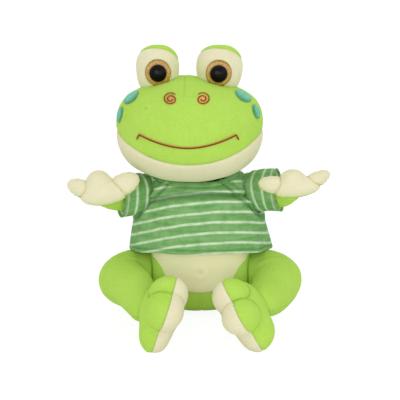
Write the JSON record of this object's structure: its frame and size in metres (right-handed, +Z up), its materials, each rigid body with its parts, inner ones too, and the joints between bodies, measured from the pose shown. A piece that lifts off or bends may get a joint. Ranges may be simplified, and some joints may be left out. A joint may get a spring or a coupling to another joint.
{
  "type": "frog hand puppet",
  "caption": "Seated plush frog hand puppet in a striped velour shirt, with a padded head on a soft neck, jointed limbs and a hand opening in the lower back.",
  "frame": {"origin": "centre of the flat seat under the torso, where the puppet sits", "axes": "+Z up through the neck, -Y the way the face looks, +X the puppet's own left"},
  "size_m": [0.2996, 0.246, 0.32],
  "materials": {
    "green_plush": "short lime-green plush pile",
    "cream_plush": "short cream plush pile",
    "shirt_velour": "green velour with thin pale stripes",
    "teal_satin": "teal satin, soft sheen",
    "rust_thread": "rust-brown embroidery thread",
    "amber_plastic": "glossy amber",
    "black_plastic": "glossy black",
    "white_plastic": "matte white",
    "cotton_lining": "plain woven cotton"
  },
  "bodies": {
    "torso": {"left_torso": "green_plush", "right_torso": "green_plush", "belly_panel": "cream_plush", "hand_pocket_lining": "cotton_lining", "opening_binding": "cotton_lining", "shirt_body": "shirt_velour", "shirt_neckband": "shirt_velour"},
    "neck": {"neck_tube": "cotton_lining"},
    "head": {"left_crown": "green_plush", "right_crown": "green_plush", "head_chin": "cream_plush", "finger_pocket": "cotton_lining", "mouth_stitch": "rust_thread", "left_eye_mound": "cream_plush", "left_eye_cap": "green_plush", "left_eye": "amber_plastic", "left_pupil": "black_plastic", "left_eye_washer": "white_plastic", "left_upper_spot": "teal_satin", "left_lower_spot": "teal_satin", "left_nostril_stitch": "rust_thread", "right_eye_mound": "cream_plush", "right_eye_cap": "green_plush", "right_eye": "amber_plastic", "right_pupil": "black_plastic", "right_eye_washer": "white_plastic", "right_upper_spot": "teal_satin", "right_lower_spot": "teal_satin", "right_nostril_stitch": "rust_thread"},
    "left_arm": {"left_arm": "green_plush", "left_palm": "cream_plush", "left_sleeve": "shirt_velour"},
    "left_leg": {"left_leg": "green_plush"},
    "left_foot": {"left_foot_top": "green_plush", "left_foot_sole": "cream_plush"},
    "right_arm": {"right_arm": "green_plush", "right_palm": "cream_plush", "right_sleeve": "shirt_velour"},
    "right_leg": {"right_leg": "green_plush"},
    "right_foot": {"right_foot_top": "green_plush", "right_foot_sole": "cream_plush"}
  },
  "joints": [
    {"name": "neck_turn", "type": "hinge", "parent": "torso", "child": "neck", "pos_m": [-0.008, 0, 0.156], "axis": [0, 0, 1], "range_deg": [-12, 12], "stiffness_Nm_per_rad": 1},
    {"name": "neck_nod", "type": "hinge", "parent": "neck", "child": "head", "pos_m": [-0.008, 0, 0.156], "axis": [1, 0, 0], "range_deg": [-12, 6], "stiffness_Nm_per_rad": 1.2, "deforming": ["shirt_neckband"]},
    {"name": "left_arm_lift", "type": "hinge", "parent": "torso", "child": "left_arm", "pos_m": [0.06, -0.006, 0.142], "axis": [-0.6392, -0.769, 0], "range_deg": [-17, 4], "stiffness_Nm_per_rad": 0.3, "deforming": ["left_sleeve"]},
    {"name": "right_arm_lift", "type": "hinge", "parent": "torso", "child": "right_arm", "pos_m": [-0.06, -0.006, 0.142], "axis": [-0.6392, 0.769, 0], "range_deg": [-17, 4], "stiffness_Nm_per_rad": 0.3, "deforming": ["right_sleeve"]},
    {"name": "left_hip_swing", "type": "hinge", "parent": "torso", "child": "left_leg", "pos_m": [0.057, -0.014, 0.038], "axis": [1, 0, 0], "range_deg": [0, 60], "stiffness_Nm_per_rad": 0.8},
    {"name": "right_hip_swing", "type": "hinge", "parent": "torso", "child": "right_leg", "pos_m": [-0.057, -0.014, 0.038], "axis": [1, 0, 0], "range_deg": [0, 60], "stiffness_Nm_per_rad": 0.8},
    {"name": "left_ankle_roll", "type": "hinge", "parent": "left_leg", "child": "left_foot", "pos_m": [0.07051, -0.112, 0.04363], "axis": [0.3455, 0.932, -0.1093], "range_deg": [-12, 12], "stiffness_Nm_per_rad": 0.4},
    {"name": "right_ankle_roll", "type": "hinge", "parent": "right_leg", "child": "right_foot", "pos_m": [-0.06158, -0.112, 0.03892], "axis": [-0.4268, 0.8858, 0.1821], "range_deg": [-12, 12], "stiffness_Nm_per_rad": 0.4}
  ]
}
